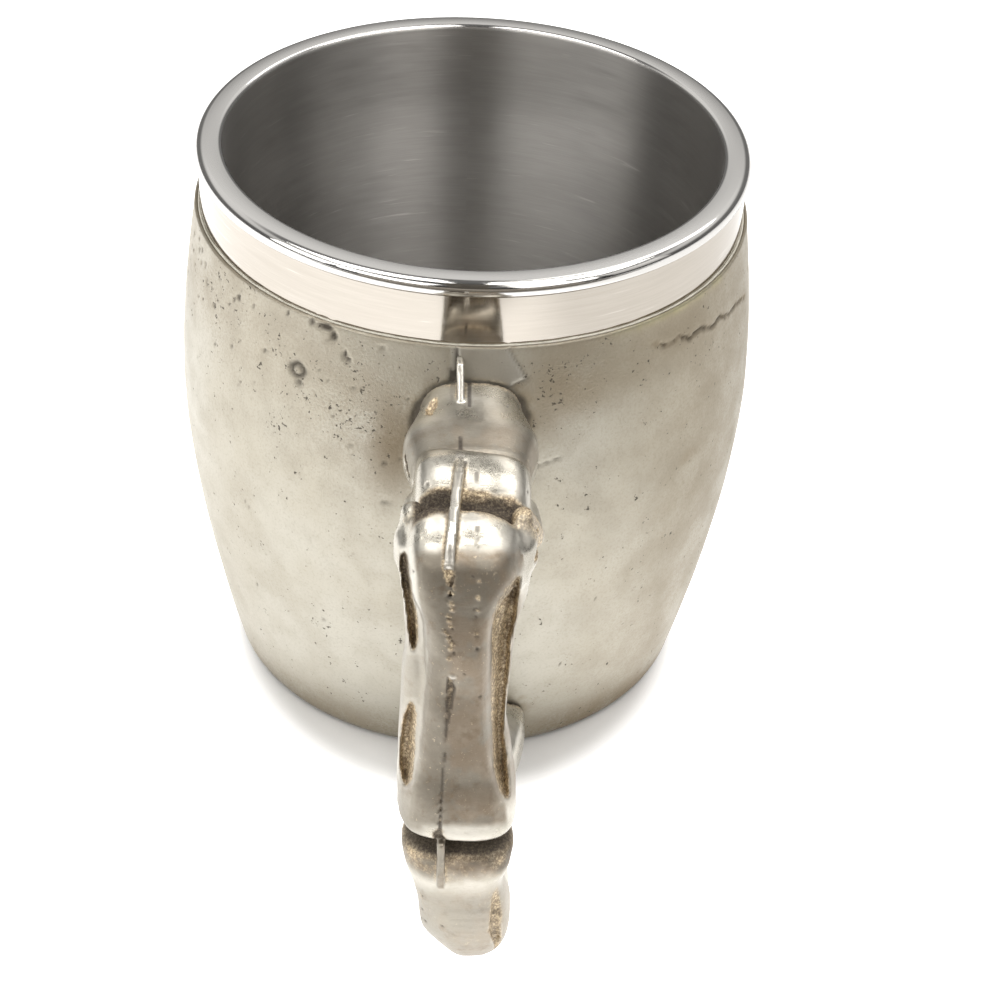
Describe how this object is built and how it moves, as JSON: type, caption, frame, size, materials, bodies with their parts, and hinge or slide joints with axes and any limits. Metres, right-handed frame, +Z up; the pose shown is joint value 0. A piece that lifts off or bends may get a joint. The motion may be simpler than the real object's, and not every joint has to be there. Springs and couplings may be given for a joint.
{
  "type": "skull mug",
  "caption": "Drinking mug: a double-walled steel cup bonded into a cast silver skull, with a curled bone finger as its handle.",
  "frame": {"origin": "centre of the base on the table, on the cup's axis", "axes": "+Z up the cup's axis out of its mouth, +Y from the face to the handle, +X to the right of someone looking at the face"},
  "size_m": [0.092, 0.14, 0.093],
  "materials": {
    "satin_steel": "satin, brushed round the cup",
    "polished_steel": "mirror polished",
    "plain_steel": "plain sheet and wire",
    "bond_resin": "clear yellowish adhesive",
    "silver_resin": "satin antique-silver paint on cast resin",
    "bone_resin": "satin silver paint with dark bronze wash in the recesses",
    "epoxy": "cured epoxy",
    "foam": "matt foam"
  },
  "bodies": {
    "root": {"inner_liner": "satin_steel", "outer_cup": "polished_steel", "cup_base": "plain_steel", "bond_sleeve": "bond_resin", "skull_body": "silver_resin", "finger_handle": "bone_resin", "handle_core": "plain_steel", "handle_epoxy": "epoxy", "base_pad": "foam"}
  },
  "joints": []
}
